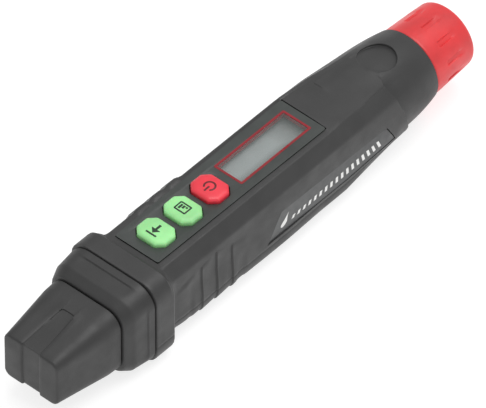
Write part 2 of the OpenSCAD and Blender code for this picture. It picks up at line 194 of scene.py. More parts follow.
def moulded(name, colour, rough, grain, depth, wear=0.35, coat=0.0, subsurface=0.0):
    """Moulded plastic with a fine spark-eroded texture, handling marks and slightly polished edges."""
    n = Nodes(name)
    base = linear(colour)
    cloud = n.remap(n.noise(9.0, 4.0), 0.0, 1.0, 0.35, 0.65)
    tone = n.mix(cloud, toned(base, 0.82), base)
    worn = n.math("MULTIPLY", n.edges(), n.remap(n.noise(2.5), 0.2, 1.0, 0.3, 0.7))
    n.tint(n.math("MULTIPLY", worn, wear), tone, toned(base, 1.35, 0.012))
    smear = n.remap(n.noise(6.0, 5.0), rough - 0.07, rough + 0.08, 0.3, 0.7)
    n.join(n.math("SUBTRACT", smear, n.math("MULTIPLY", worn, 0.08)), n.shader, "Roughness")
    n.settle({"Coat Weight": coat, "Coat Roughness": 0.25})
    if subsurface:
        n.settle({"Subsurface Weight": subsurface, "Subsurface Radius": BLEED, "Subsurface Scale": 0.8 * MM})
    n.bump(n.math("ADD", n.noise(grain, 4.0, 0.6), n.cells(grain * 1.6)), depth)
    n.bump(n.noise(14.0, 2.0), depth * 3)
    return n.material


def metal(name, colour, rough, brushed):
    """Turned or stamped metal with fine lines and a little tarnish."""
    n = Nodes(name)
    base = linear(colour)
    n.tint(n.remap(n.noise(3.0, 4.0), 0.0, 0.6, 0.45, 0.7), base, toned(base, 0.7))
    n.settle({"Metallic": 1.0})
    n.gloss(n.noise(1.2, 4.0), rough - 0.06, rough + 0.12)
    stretch = n.add("ShaderNodeMapping")
    stretch.inputs["Scale"].default_value = (12.0, 1.0, 1.0) if brushed else (1.0, 1.0, 1.0)
    n.join(n.place, stretch, "Vector")
    lines = n.add("ShaderNodeTexNoise", Scale=900.0, Detail=3.0)
    n.join(stretch.outputs["Vector"], lines, "Vector")
    n.bump(lines.outputs["Fac"], 0.01)
    return n.material


def display_glass(name, light, dark):
    """Switched-off liquid crystal glass, with painted shade that darkens it under the window's near and tail
    edges.
    """
    n = Nodes(name)
    low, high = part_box("lcd_window")
    # painted shade: masks towards the window's tail end and its near edge, where the recessed window shades
    # the glass
    end = n.remap(n.axes()["X"], 0.0, 1.0, high.x - 9 * MM, high.x - 0.5 * MM)
    edge = n.remap(n.axes()["Y"], 0.0, 1.0, -0.6 * MM, low.y + 1.4 * MM)
    n.tint(n.math("MAXIMUM", end, edge), linear(light), linear(dark))
    n.gloss(n.noise(5.0), 0.28, 0.4)
    n.bump(n.noise(0.5), 0.002)
    return n.material


def clear_window(name):
    """Scratch-resistant clear window with faint handling marks."""
    n = Nodes(name)
    n.tint(n.noise(7.0), linear("#c9d2cf"), linear("#aeb8b5"))
    n.gloss(n.noise(3.0, 5.0), 0.05, 0.2, 0.35, 0.75)
    n.settle({"Alpha": 0.12})
    n.bump(n.noise(8.0), 0.003)
    return n.material


def printed(name, colour, rough):
    """Screen-printed ink, a little uneven in thickness and tone."""
    n = Nodes(name)
    base = linear(colour)
    n.tint(n.noise(0.8, 4.0), base, toned(base, 0.85))
    n.gloss(n.noise(1.0), rough - 0.08, rough + 0.1)
    n.bump(n.noise(0.15), 0.004)
    return n.material


def label_with_painted_highlight(name, bright, dull):
    """Metallised label film, with a painted highlight that fades from a bright band to a duller grey along its
    length.
    """
    n = Nodes(name)
    low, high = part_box("side_label")
    # painted highlight: the tint runs from the bright tone at the label's front end to the dull tone at its
    # rear end
    place = n.remap(n.axes()["X"], 0.0, 1.0, low.x, high.x)
    n.tint(n.math("ADD", place, n.remap(n.noise(4.0), -0.06, 0.06)), linear(bright), linear(dull))
    n.settle({"Metallic": 0.25})
    n.gloss(n.noise(2.0, 5.0), 0.34, 0.5)
    n.bump(n.noise(0.3, 4.0), 0.006)
    return n.material


# Colour, roughness, grain and depth of the texture, and where it isn't the usual, wear, coat and subsurface
PLASTICS = {
    "nose_black": ("#303030", 0.5, 0.3, 0.012, 0.3),
    "housing_black": ("#343434", 0.5, 0.3, 0.014),
    "base_black": ("#2b2b2d", 0.42, 0.35, 0.01),
    "panel_grey": ("#393d3b", 0.42, 0.22, 0.008, 0.3),
    "trim_red": ("#8e1622", 0.35, 0.3, 0.004, 0.2),
    "white_plastic": ("#dcdcd6", 0.45, 0.4, 0.006, 0.2),
    "contact_rubber": ("#c98484", 0.7, 0.2, 0.01, 0.1),
    "button_green": ("#a2ec9d", 0.42, 0.35, 0.006, 0.2, 0.0, 0.15),
    "button_red": ("#f03a4a", 0.38, 0.35, 0.006, 0.2, 0.0, 0.15),
    "switch_black": ("#262626", 0.4, 0.3, 0.006),
    "board_green": ("#1d5f35", 0.35, 0.5, 0.01, 0.2, 0.4),
    "chip_black": ("#1b1b1d", 0.6, 0.2, 0.006),
    "wire_insulation": ("#a32c2c", 0.45, 0.4, 0.004),
    "cell_wrap": ("#3c5f8a", 0.3, 0.5, 0.003, 0.2, 0.5),
    "seal_rubber": ("#1c1c1c", 0.65, 0.2, 0.01, 0.1),
    "cap_red": ("#e23a3d", 0.4, 0.45, 0.008, 0.2, 0.0, 0.2),
}
# Colour, roughness, and whether it is brushed
METALS = {
    "pin_steel": ("#c6c9cd", 0.2, True),
    "brass": ("#c9a04a", 0.28, True),
    "nickel": ("#bfc1bd", 0.26, False),
    "screw_steel": ("#8f9296", 0.32, False),
}
MATERIALS = {name: moulded(name, *look) for name, look in PLASTICS.items()}
MATERIALS.update({name: metal(name, *look) for name, look in METALS.items()})
# painted highlight along the label: bright at its front end, dull at its rear end
MATERIALS["label_grey"] = label_with_painted_highlight("label_grey", "#585959", "#424344")
MATERIALS["window_clear"] = clear_window("window_clear")
# painted shade: the second colour darkens the glass under the window's near and tail edges
MATERIALS["lcd_glass"] = display_glass("lcd_glass", "#999f9f", "#616362")
INK_DARK = printed("ink_dark", "#15301a", 0.45)
INK_RED = printed("ink_red", "#5e0a12", 0.45)
INK_WHITE = printed("ink_white", "#f4f4f2", 0.5)

for cad_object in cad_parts.values():
    for cad_slot in cad_object.material_slots:
        cad_slot.material = MATERIALS[cad_slot.material.name.split(".")[0]]

# ---------- mesh building ----------

SHARP = 32
WELD = 2e-7


def add_object(name, data):
    obj = bpy.data.objects.new(name, data)
    bpy.context.scene.collection.objects.link(obj)
    return obj


def finish_piece(mesh, name, body, slot, nodes=(), material=None, sharp=SHARP):
    """Makes an object of a mesh, shades it, gives it the slot's material or the one given, ties it to its
    body, and hides the CAD nodes it stands for.
    """
    mesh.name = name
    obj = add_object(name, mesh)
    shade(mesh, sharp)
    mesh.materials.clear()
    mesh.materials.append(material or MATERIALS[slot])
    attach(obj, body)
    if nodes:
        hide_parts(*nodes)
    return obj


def shade(mesh, sharp):
    mesh.polygons.foreach_set("use_smooth", [True] * len(mesh.polygons))
    mesh.set_sharp_from_angle(angle=radians(sharp))
    mesh.update()


def clean(mesh):
    """Joins doubles, drops loose points and turns the faces outwards."""
    tool = bmesh.new()
    tool.from_mesh(mesh)
    bmesh.ops.remove_doubles(tool, verts=tool.verts, dist=WELD)
    loose = [v for v in tool.verts if not v.link_faces]
    bmesh.ops.delete(tool, geom=loose, context="VERTS")
    bmesh.ops.recalc_face_normals(tool, faces=tool.faces)
    tool.to_mesh(mesh)
    tool.free()
    return mesh


def mesh_of(points, faces):
    """A clean mesh of pen-frame points."""
    mesh = bpy.data.meshes.new("piece")
    mesh.from_pydata([pen(*p) for p in points], [], faces)
    return clean(mesh)


def shell_mesh(outer, inner, keep=None):
    """A closed shell between two grids of points with the same rows and columns, open where keep is False."""
    rows, cols = outer.shape[:2]
    kept = np.ones((rows - 1, cols - 1), bool) if keep is None else keep
    points = list(outer.reshape(-1, 3)) + list(inner.reshape(-1, 3))
    back = rows * cols

    def at(i, j):
        return i * cols + j

    faces = []
    for i in range(rows - 1):
        for j in range(cols - 1):
            if not kept[i, j]:
                continue
            quad = [at(i, j), at(i + 1, j), at(i + 1, j + 1), at(i, j + 1)]
            faces.append(quad)
            faces.append([back + k for k in reversed(quad)])
            beside = ((i, j - 1), (i + 1, j), (i, j + 1), (i - 1, j))
            for side, (a, b) in enumerate(beside):
                if 0 <= a < rows - 1 and 0 <= b < cols - 1 and kept[a, b]:
                    continue
                p, q = quad[side], quad[(side + 1) % 4]
                faces.append([q, p, back + p, back + q])
    return mesh_of(points, faces)


def tube_mesh(rings, capped=True):
    """A mesh from closed rings of points: its ends are fanned over if it is capped, and joined if not."""
    rings = np.array(rings)
    count, cols = rings.shape[:2]
    points = list(rings.reshape(-1, 3))
    faces = []
    for i in range(count - (1 if capped else 0)):
        k = (i + 1) % count
        for j in range(cols):
            m = (j + 1) % cols
            faces.append([i * cols + j, k * cols + j, k * cols + m, i * cols + m])
    if capped:
        for i in (0, count - 1):
            points.append(rings[i].mean(axis=0))
            centre = len(points) - 1
            for j in range(cols):
                faces.append([i * cols + j, i * cols + (j + 1) % cols, centre])
    return mesh_of(points, faces)


def unit(vector):
    return vector / np.linalg.norm(vector)


def fillet_path(corners, radii, steps=8):
    """A path through the corners, rounded at the inner ones. Also returns each arc's first and last index."""
    corners = [np.array(c, float) for c in corners]
    path, marks = [corners[0]], []
    for k, radius in enumerate(radii, start=1):
        before = unit(corners[k - 1] - corners[k])
        after = unit(corners[k + 1] - corners[k])
        half = acos(np.clip(before @ after, -1, 1)) / 2
        centre = corners[k] + unit(before + after) * radius / sin(half)
        first = corners[k] + before * radius / tan(half) - centre
        last = corners[k] + after * radius / tan(half) - centre
        turn = acos(np.clip(first @ last / radius ** 2, -1, 1))
        marks.append(len(path))
        for s in range(steps + 1):
            a = turn * s / steps
            path.append(centre + (sin(turn - a) * first + sin(a) * last) / sin(turn))
        marks.append(len(path) - 1)
    path.append(corners[-1])
    return np.array(path), marks


def distances(path):
    """Distance along a path of each of its points."""
    return np.concatenate([[0], np.cumsum(np.linalg.norm(np.diff(path, axis=0), axis=1))])


def points_at(path, reach, places):
    """Points at the given distances along a path."""
    return np.stack([np.interp(places, reach, path[:, k]) for k in (0, 1)], axis=1)


def rounded_loop(corners, radius, steps):
    """A closed outline with every corner rounded."""
    start = (np.array(corners[-1], float) + np.array(corners[0], float)) / 2
    path, _ = fillet_path([start, *corners, start], [radius] * len(corners), steps)
    return path[:-1]


def stations(marks, step):
    """The marks in order, with even steps no longer than step between them."""
    marks = sorted(marks)
    result = [marks[0]]
    for a, b in zip(marks, marks[1:]):
        count = max(1, ceil((b - a) / step - 1e-6))
        result += [a + (b - a) * k / count for k in range(1, count + 1)]
    return result


def spread(anchors, counts):
    """Values from anchor to anchor, each stretch cut into its count of even steps."""
    result = [anchors[0]]
    for a, b, count in zip(anchors, anchors[1:], counts):
        result += [a + (b - a) * k / count for k in range(1, count + 1)]
    return np.array(result)


def smooth(t):
    t = min(max(t, 0.0), 1.0)
    return t * t * (3 - 2 * t)


def plate(name, loops, low, high, bevel, body, slot, nodes=(), material=None):
    """A flat plate with bevelled edges over the outlines given, from height low to height high."""
    curve = bpy.data.curves.new(name, "CURVE")
    curve.dimensions = "2D"
    curve.fill_mode = "BOTH"
    curve.extrude = (high - low) / 2 * MM - bevel * MM
    curve.bevel_depth = bevel * MM
    curve.bevel_resolution = 1
    curve.offset = -bevel * MM
    for loop in loops:
        spline = curve.splines.new("POLY")
        spline.points.add(len(loop) - 1)
        spline.use_cyclic_u = True
        for point, (x, y) in zip(spline.points, loop):
            point.co = (x * MM, y * MM, 0, 1)
    helper = add_object(name, curve)
    view = bpy.context.evaluated_depsgraph_get()
    mesh = bpy.data.meshes.new_from_object(helper.evaluated_get(view))
    bpy.data.objects.remove(helper)
    bpy.data.curves.remove(curve)
    for vertex in mesh.vertices:
        x, y, z = vertex.co
        vertex.co = (NOSE_X + x, y, AXIS_Z + z + (low + high) / 2 * MM)
    return finish_piece(clean(mesh), name, body, slot, nodes, material)


def carve(obj, cutter):
    """Cuts a closed mesh out of a piece."""
    tool = add_object("cutter", cutter)
    modifier = obj.modifiers.new("cut", "BOOLEAN")
    modifier.operation = "DIFFERENCE"
    modifier.solver = "EXACT"
    modifier.object = tool
    view = bpy.context.evaluated_depsgraph_get()
    mesh = bpy.data.meshes.new_from_object(obj.evaluated_get(view))
    obj.modifiers.remove(modifier)
    bpy.data.objects.remove(tool)
    obj.data = mesh
    shade(mesh, SHARP)


# ---------- housing sections ----------

BODY_TOP = ((46, 14.6), (90, 14.7), (125, 14.6), (150, 14.3))
BODY_HALF = ((46, 14.1), (90, 14.2), (125, 14.2), (150, 13.9))
BODY_BOTTOM = ((46, -13.5), (60, -13.9), (90, -14.5), (125, -14.4), (150, -14.0))
PLATEAU = ((125, 11.0), (150, 8.75))
CHAMFER_WIDE, CHAMFER_DEEP = 3.1, 4.7
HEAD_CORNER = 6.4
TAIL_START = 148.0
TAIL_FRONT_R, TAIL_DROP = 14.55, 1.7
EDGE_R = 0.35
# Start, corner and run of the head's shoulder on the side, the top and the underside
SIDE_SHOULDER, TOP_SHOULDER, UNDER_SHOULDER = (45.1, 0.9, 4.3), (44.2, 0.5, 3.0), (45.1, 0.9, 3.6)
CORNER_SHARE = 0.3
# Where the far and the near side start to turn round, over what length, and how far the near side gets
FAR_START, FAR_RUN = 124, 46
NEAR_START, NEAR_RUN, NEAR_ROUND = 128, 28, 0.55


def along(table, x):
    return float(np.interp(x, [row[0] for row in table], [row[1] for row in table]))


def shoulder(x, start, corner, run):
    """1 on the head and 0 on the body, over a rounded corner and then a hollow sweep."""
    if x <= start:
        return 1.0
    if x < start + corner:
        u = (x - start) / corner
        return 1 - CORNER_SHARE * (1 - sqrt(1 - u * u))
    u = min((x - start - corner) / run, 1.0)
    return (1 - CORNER_SHARE) * (1 - sqrt(1 - (1 - u) ** 2))


def blend(a, b, t):
    return a + (b - a) * t


def section(x):
    """Half cross-section of the housing without its details, from the top's middle to the bottom's middle."""
    side = shoulder(x, *SIDE_SHOULDER)
    top = shoulder(x, *TOP_SHOULDER)
    under = shoulder(x, *UNDER_SHOULDER)
    before = max(0.0, EDGE_R - (x - HEAD_FRONT))
    front = EDGE_R - sqrt(max(0.0, EDGE_R ** 2 - before ** 2))
    bevel = HEAD_CORNER * (2 - sqrt(2))
    high = blend(along(BODY_TOP, x), HEAD_TOP, top) - front
    wide = blend(along(BODY_HALF, x), HEAD_HALF, side) - front
    low = blend(along(BODY_BOTTOM, x), HEAD_BOTTOM, under) + front
    flat = wide - blend(CHAMFER_WIDE, bevel, side)
    flat = blend(min(along(PLATEAU, x), flat), flat, side)
    drop = blend(CHAMFER_DEEP, bevel, side)
    corners = [(0, high), (flat, high), (wide, high - drop), (wide, low), (0, low)]
    radii = (blend(0.8, HEAD_CORNER, side), blend(2.0, HEAD_CORNER, side), blend(4.8, 7.0, side))
    return fillet_path(corners, radii)


def tail_radius(x):
    return TAIL_FRONT_R - TAIL_DROP * max(0.0, (x - TAIL_START) / (HOUSING_REAR - TAIL_START)) ** 3


def roundness(x, side=FAR, behind=True):
    """0 where the housing is faceted and 1 where it is round; the near side stays faceted up to its step."""
    if side == FAR:
        return smooth((x - FAR_START) / FAR_RUN)
    return 1.0 if behind else NEAR_ROUND * min(max((x - NEAR_START) / NEAR_RUN, 0.0), 1.0)


EDGE_HALF = ((PANEL_FRONT, 8.55), (PANEL_REAR, 9.0), (150, 6.9), (HOUSING_REAR, 6.9))
OPENING_HALF = ((122, 6.4), (130, 6.7), (150, 6.5), (HOUSING_REAR, 6.0))
CREASE = ((125, 10.9), (150, 8.75), (HOUSING_REAR, 8.3))
ZONE_TOP = ((50, 3.8), (61, 6.6), (68, 8.0), (75, 5.6), (85, 3.0), (97.5, 2.3), (145.3, 1.6),
            (HOUSING_REAR, 1.4))
ZONE_EDGE = ((85, 0.5), (92, TINY))
LABEL_LOW = -6.9
SEAM_BAND = 0.3
TOP_COUNTS = (5, 1, 2, 1, 1, 2, 4, 3, 3, 4, 1, 9, 1, 1, 1)
BOTTOM_COUNTS = (1, 2, 6, 7)
# Columns of the top half: the panel recess's floor edge, its wall top and bevel, and the label's window
FLOOR_COL, WALL_COL, BEVEL_COL = 8, 9, 10
LAND_COL = 5
CREASE_COL = 16
ZONE_COL = 26
WINDOW_COLS = (27, 36)


def detail_lines(x):
    """Half widths across the top, and heights down the side, of the lines that the details follow."""
    opening, edge, zone = along(OPENING_HALF, x), along(EDGE_HALF, x), along(ZONE_TOP, x)
    across = [0, opening, opening + 0.1, edge, edge + TINY, edge + 0.08]
    heights = [zone, zone - along(ZONE_EDGE, x), LABEL_LOW + TINY, LABEL_LOW, SPLIT_Z + SEAM_BAND, SPLIT_Z]
    return across, heights


def path_marks(path, marks, reach, x):
    """Distances along a section's path of the detail lines, for the top half and the bottom half."""
    widest = marks[3]

    def by_y(y):
        return float(np.interp(y, path[:widest + 1, 0], reach[:widest + 1]))

    def by_z(z):
        return float(np.interp(-z, -path[marks[3]:marks[4] + 1, 1], reach[marks[3]:marks[4] + 1]))

    across, heights = detail_lines(x)
    upper = [*map(by_y, across), *[reach[m] for m in marks[:4]], *map(by_z, heights)]
    lower = [by_z(SPLIT_Z), by_z(SPLIT_Z - SEAM_BAND), reach[marks[4]], reach[marks[5]], reach[-1]]
    return upper, lower


def circle_marks(radius, x):
    """Angles round the tail of the same lines."""
    across, heights = detail_lines(x)
    crease = along(CREASE, x)
    across = np.minimum([*across, crease - 0.12, crease + 0.12], radius * 0.995)
    upper = [asin(y / radius) for y in across] + [radians(50), radians(60)]
    upper += [acos(z / radius) for z in heights]
    lower = [acos(SPLIT_Z / radius), acos((SPLIT_Z - SEAM_BAND) / radius), 2.45, 2.65, pi]
    return upper, lower


def columns(x, upper_half, side=FAR, behind=True):
    """Points (y, z) of one half section, one per column, for the top shell or the bottom shell."""
    half, counts = (0, TOP_COUNTS) if upper_half else (1, BOTTOM_COUNTS)
    path, marks = section(x)
    reach = distances(path)
    flat = points_at(path, reach, spread(path_marks(path, marks, reach, x)[half], counts))
    if x <= FAR_START:
        return flat
    aside = np.clip((flat[:, :1] - 6) / 3, 0, 1)
    share = roundness(x) * (1 - aside) + roundness(x, side, behind) * aside
    radius = tail_radius(x)
    turn = spread(circle_marks(radius, x)[half], counts)
    arc = radius * np.stack([np.sin(turn), np.cos(turn)], axis=1)
    return flat * (1 - share) + arc * share


# Slant of the rings on the near side, so that they follow the label's ends and the step behind it
SLANT = ((85, 0), (102.6, -12.1), (PANEL_REAR, 0), (141.5, 9.0), (151.05, 5.5), (165, 0))
SLANT_BY_Z = ((LABEL_LOW, 1.0), (9.0, 0.0), (12.0, -0.19))


def slanted(x, y, z, side):
    """Where a ring crosses the height z on the near side."""
    if side == FAR:
        return x
    inward = min(max((abs(y) - 6.8) / 1.9, 0.0), 1.0) if z > 9 else 1.0
    return x + along(SLANT, x) * along(SLANT_BY_Z, z) * inward


RIB_STEP = 0.35
RIB_PROUD = 0.3
RIBS = ((54.6, 61.3, 0.45), (61.3, 68.0, 0.45), (68.0, 75.0, 0.45), (75.0, 82.0, 0.28))


def rib_depth(x):
    """Depth of the saw-tooth grip, each tooth falling towards the tail's side and stepping out again."""
    for start, end, depth in RIBS:
        if start <= x < end - TINY:
            return depth * (x - start) / (end - start) - RIB_PROUD * smooth((x - 48) / 6)
    if x < RIBS[0][0]:
        return -RIB_PROUD * smooth((x - 48) / 6)
    return (0.28 - RIB_PROUD) * max(0.0, (90.0 - x) / 8.0) if x >= 82.0 else 0.0


FAR_TEETH = ((58.4, 65.4), (65.6, 72.2), (72.8, 79.0))
FAR_TOOTH = 0.42
NEAR_SWELL = 0.36


def side_trim(x, z, side):
    """Small swellings and hollows that the grip and the waist give each side."""
    if side == FAR:
        out = -FAR_TOOTH * smooth((x - 78) / 3) * (1 - smooth((x - 128) / 12))
        for start, end in FAR_TEETH:
            if start < x < end:
                out += FAR_TOOTH * smooth((x - start) / 1.8) * smooth((end - x) / 1.6)
        return out * smooth((z + 14) / 3)
    low = NEAR_SWELL * smooth((x - 56) / 2) * (1 - 0.9 * smooth((x - 76) / 2) * smooth((81.5 - x) / 2))
    return low * (1 - smooth((x - 98) / 20)) * smooth((2 - z) / 8) * smooth((z + 14) / 1.5)


LABEL_RINGS = (102.6, 141.5)
STEP_RING = 151.05
STEP_FOOT = 156.55
LABEL_DEPTH = 0.65
PROUD = 0.25
LIP = 0.6
LAND_FRONT, LAND_RISE = 135.5, 0.22


def relief(x, col, y, z, side):
    """How far a point of the top shell stands out of the plain section."""
    out = 0.0
    if col > ZONE_COL:
        out -= rib_depth(x)
        inside = LABEL_RINGS[0] - TINY / 2 < x < LABEL_RINGS[1] + TINY / 2
        if side == NEAR and inside and WINDOW_COLS[0] <= col <= WINDOW_COLS[1]:
            return -LABEL_DEPTH
    if side == NEAR and col >= CREASE_COL and 125 < x <= STEP_RING:
        out += PROUD * (x - 125) / 25 * min(max((z + 8.2) / 4, 0), 1)
    if col < CREASE_COL and x > PANEL_REAR + 0.1:
        lean = float(np.interp(y, (-9, -4, 9), (0.35, 0.8, 1.0)))
        out += LIP * lean * (1 - smooth((x - PANEL_REAR) / 24)) * (1 - smooth((abs(y) - 9) / 2.5))
    if col <= LAND_COL and x > LAND_FRONT:
        out += LAND_RISE * smooth((y + 1) / 5) * (1 - smooth((x - 147) / 8))
    return out


def in_panel(x):
    return PANEL_FRONT - 0.06 < x < PANEL_REAR + 0.16


WALL, HEAD_WALL = 1.8, 3.1
BODY_R = 14.1
SEAT_R, SEAT_END, BORE_R = 12.3, 169.5, 11.5
HEAD_REAR = 45
CEILING = 11.9


def inner_point(x, y, z):
    """The matching point on the housing's inside."""
    radius = blend(SEAT_R, BORE_R, smooth((x - SEAT_END) / 0.2))
    share = roundness(x)
    if x < HEAD_REAR:
        wide = 1 - HEAD_WALL / HEAD_HALF
    else:
        wide = blend(BODY_R - WALL, radius, share) / blend(BODY_R, tail_radius(x), share)
    y2, z2 = y * wide, z * wide
    if x > HEAD_REAR:
        z2 = min(z2, CEILING)
        if z > 0:
            y2 = y * blend(1.0, wide, smooth((abs(y) - 7) / 3))
    return (x, y2, z2)


def half_grid(rings, upper_half, side):
    """Outer and inner points of one side of a shell, one row per ring and one column per line."""
    outer, inner = [], []
    for x0 in rings:
        behind = x0 > (STEP_RING if upper_half else STEP_FOOT)
        plain = columns(x0, upper_half, side, behind)
        row_out, row_in = [], []
        for col, (y0, z0) in enumerate(plain):
            x = slanted(x0, y0, z0, side) if upper_half else x0
            here = plain if x == x0 else columns(x, upper_half, side, behind)
            before, after = here[max(col - 1, 0)], here[min(col + 1, len(here) - 1)]
            tangent = unit(after - before)
            normal = np.array([-tangent[1], tangent[0]])
            y, z = here[col]
            if upper_half:
                height = relief(x0, col, side * y, z, side)
            else:
                height = -rib_depth(x0) * smooth((z + 14) / 1.5)
            if not upper_half or col > BEVEL_COL:
                height += side_trim(x, z, side)
            if (upper_half and col == len(here) - 1) or (not upper_half and col == 0):
                height -= 0.12
            y, z = y + height * normal[0], z + height * normal[1]
            if upper_half and in_panel(x0):
                if col <= FLOOR_COL:
                    z = FLOOR_Z
                elif col == WALL_COL:
                    z -= 0.06
            elif upper_half and col <= WALL_COL and in_panel(x0 + 0.03 if x0 < 60 else x0 - 0.03):
                z -= 0.12
            row_out.append((x, side * y, z))
            ix, iy, iz = inner_point(x, *here[col])
            row_in.append((ix, side * iy, iz))
        outer.append(row_out)
        inner.append(row_in)
    return np.array(outer), np.array(inner)


def whole_grid(rings, upper_half):
    """Both sides of a shell side by side, from the near seam over to the far seam."""
    near_out, near_in = half_grid(rings, upper_half, NEAR)
    far_out, far_in = half_grid(rings, upper_half, FAR)
    if upper_half:
        return (np.concatenate([near_out[:, ::-1], far_out[:, 1:]], axis=1),
                np.concatenate([near_in[:, ::-1], far_in[:, 1:]], axis=1))
    return (np.concatenate([near_out, far_out[:, -2::-1]], axis=1),
            np.concatenate([near_in, far_in[:, -2::-1]], axis=1))


BUTTON_HOLE = (BUTTON_X[0] - 5.9, BUTTON_X[2] + 5.9)
LCD_MIDDLE = sum(span("lcd_frame", 0)) / 2
LCD_HOLE = (LCD_MIDDLE - 16.4, LCD_MIDDLE + 16.4)
SCREWS = ((50, 9.4), (50, -9.4), (109, 9.7), (109, -9.7))
SCREW_HOLE_R = 2.5
TAIL_DISH = (157.0, 0.0, 6.2, 0.62)
DISH_SIDES = 72


def shell_rings():
    marks = [HEAD_FRONT, HEAD_FRONT + 0.1, HEAD_FRONT + EDGE_R, 43.9]
    marks += [HOUSING_REAR - EDGE_R, HOUSING_REAR - 0.1, HOUSING_REAR]
    marks += list(np.linspace(44.1, 50.7, 23))
    marks += [PANEL_FRONT - 0.2, PANEL_FRONT - 0.07, PANEL_FRONT - 0.05]
    marks += [PANEL_REAR + 0.15, PANEL_REAR + 0.17, PANEL_REAR + 0.29]
    marks += [*BUTTON_HOLE, *LCD_HOLE, 54.6, 86.0]
    for _, end, _ in RIBS:
        marks += [end - RIB_STEP, end]
    marks += [LABEL_RINGS[0] - 0.15, LABEL_RINGS[0] - TINY, LABEL_RINGS[0]]
    marks += [LABEL_RINGS[1], LABEL_RINGS[1] + TINY, LABEL_RINGS[1] + 0.15]
    marks += [LAND_FRONT, LAND_FRONT + 0.3, STEP_RING - 0.15, STEP_RING, STEP_RING + 0.12]
    marks += [STEP_FOOT - 0.15, STEP_FOOT, STEP_FOOT + 0.12]
    marks += [edge for tooth in FAR_TEETH for edge in tooth]
    return stations(marks, 0.9)


def housing():
    rings = shell_rings()
    outer, inner = whole_grid(rings, True)
    cols = outer.shape[1] - 1
    middle = cols // 2
    keep = np.ones((len(rings) - 1, cols), bool)
    for low, high in (BUTTON_HOLE, LCD_HOLE):
        for i in range(len(rings) - 1):
            if low - 0.01 < rings[i] and rings[i + 1] < high + 0.01:
                keep[i, middle - LAND_COL:middle + LAND_COL] = False
    mesh = shell_mesh(outer, inner, keep)
    top = finish_piece(mesh, "housing_top", "housing", "housing_black", ["top_shell"])
    carve(top, dish(top, *TAIL_DISH, 1))
    mesh = shell_mesh(*whole_grid(rings, False))
    bottom = finish_piece(mesh, "housing_bottom", "housing", "housing_black", ["bottom_shell"])
    for x, y in SCREWS:
        carve(bottom, dish(bottom, x, y, SCREW_HOLE_R, None, -1))


def dish(obj, x, y, radius, depth, up):
    """A cutter for a round recess that follows a piece's surface, or a bored hole where depth is None."""
    tree = BVHTree.FromObject(obj, bpy.context.evaluated_depsgraph_get())
    if depth is None:
        profile = [(0.0, -6.0), (radius, -6.0), (radius, -0.15), (radius + 0.2, 0.06)]
        profile += [(radius + 0.2, 4.0), (0.0, 4.0)]
    else:
        profile = [(radius * k / 5, -depth) for k in range(5)]
        profile += [(radius - 0.2, -depth), (radius, -depth + 0.15), (radius + 0.02, -0.12)]
        profile += [(radius + 0.2, 0.04), (radius + 0.25, 1.5)]
        profile += [(radius * k / 5, 1.5) for k in (4, 2, 0)]
    rings = []
    for r, offset in profile:
        ring = []
        for k in range(DISH_SIDES):
            angle = 2 * pi * k / DISH_SIDES
            px, py = x + r * cos(angle), y + r * sin(angle)
            start = Vector(pen(px, py, 25 * up))
            hit = tree.ray_cast(start, Vector((0, 0, -up)))[0]
            surface = (hit.z - AXIS_Z) / MM
            if depth is None:
                surface = HEAD_BOTTOM + 3.2
            else:
                offset_here = offset if offset > 0 else offset * (1 + 0.75 * (px - x) / radius)
                surface += (offset_here - offset) * up
            ring.append((px, py, surface + offset * up))
        rings.append(ring)
    return tube_mesh(rings)


# ---------- nose cap and collar ----------


CLOSED_COUNTS = (6, 7, 10, 7, 6)


def closed_section(x, half, top, bottom, corner):
    """A closed rounded cross-section, from the top's middle down the far side and up the near side."""
    corners = [(0, top), (half, top), (half, bottom), (0, bottom)]
    path, marks = fillet_path(corners, (corner, corner))
    reach = distances(path)
    places = spread([0, *[reach[m] for m in marks], reach[-1]], CLOSED_COUNTS)
    right = points_at(path, reach, places)
    return [(x, y, z) for y, z in right] + [(x, -y, z) for y, z in right[-2:0:-1]]


NOSE_SIZES = ((0, 10.65, 8.7, 2.4), (1.5, 10.9, 9.0, 2.9), (12, 12.3, 10.6, 4.2), (21, 13.55, 12.05, 5.4),
              (CAP_REAR, 13.8, 12.2, 5.6))
RECESS_DEPTH = 0.7
RECESS_TOP_SHARE = 0.5
RECESS_END = 17.5


def sizes_at(table, x):
    """The sizes in a table's rows, at x."""
    return [along([(row[0], row[k]) for row in table], x) for k in range(1, len(table[0]))]


def recess_half(x):
    return blend(3.3, 2.45, min(max(x / RECESS_END, 0), 1))


NOSE_COUNTS = (9, 1, 1, 4, 7, 12, 7, 4, 1, 1, 9)
RECESS_COLS = NOSE_COUNTS[0]
NOSE_SIDE_COL = sum(NOSE_COUNTS[:5])
NOSE_EDGE_R = 1.0
CROWN = 0.34
NOSE_RIM = ((0.14, 0.05), (0.03, 0.17), (0.0, 0.34))
NOSE_HOLLOW = ((CAP_REAR, 11.2, 9.5, 4.2), (17.0, 11.2, 9.5, 4.2), (16.9, 10.9, 9.1, 4.0),
               (9.0, 9.7, 7.7, 3.4), (2.6, 8.75, 6.5, 3.0), (2.2, 8.3, 6.1, 2.8))


def nose_columns(half, tall, corner, edge):
    """Points (y, z) of the right half of a nose section, with columns at the sides of the recess."""
    path, marks = fillet_path([(0, tall), (half, tall), (half, -tall), (0, -tall)], (corner, corner))
    reach = distances(path)
    upper = [0, edge, edge + 0.3, edge + 0.55, reach[marks[0]], reach[marks[1]]]
    places = spread(upper + [reach[-1] - a for a in reversed(upper)], NOSE_COUNTS)
    return points_at(path, reach, places)


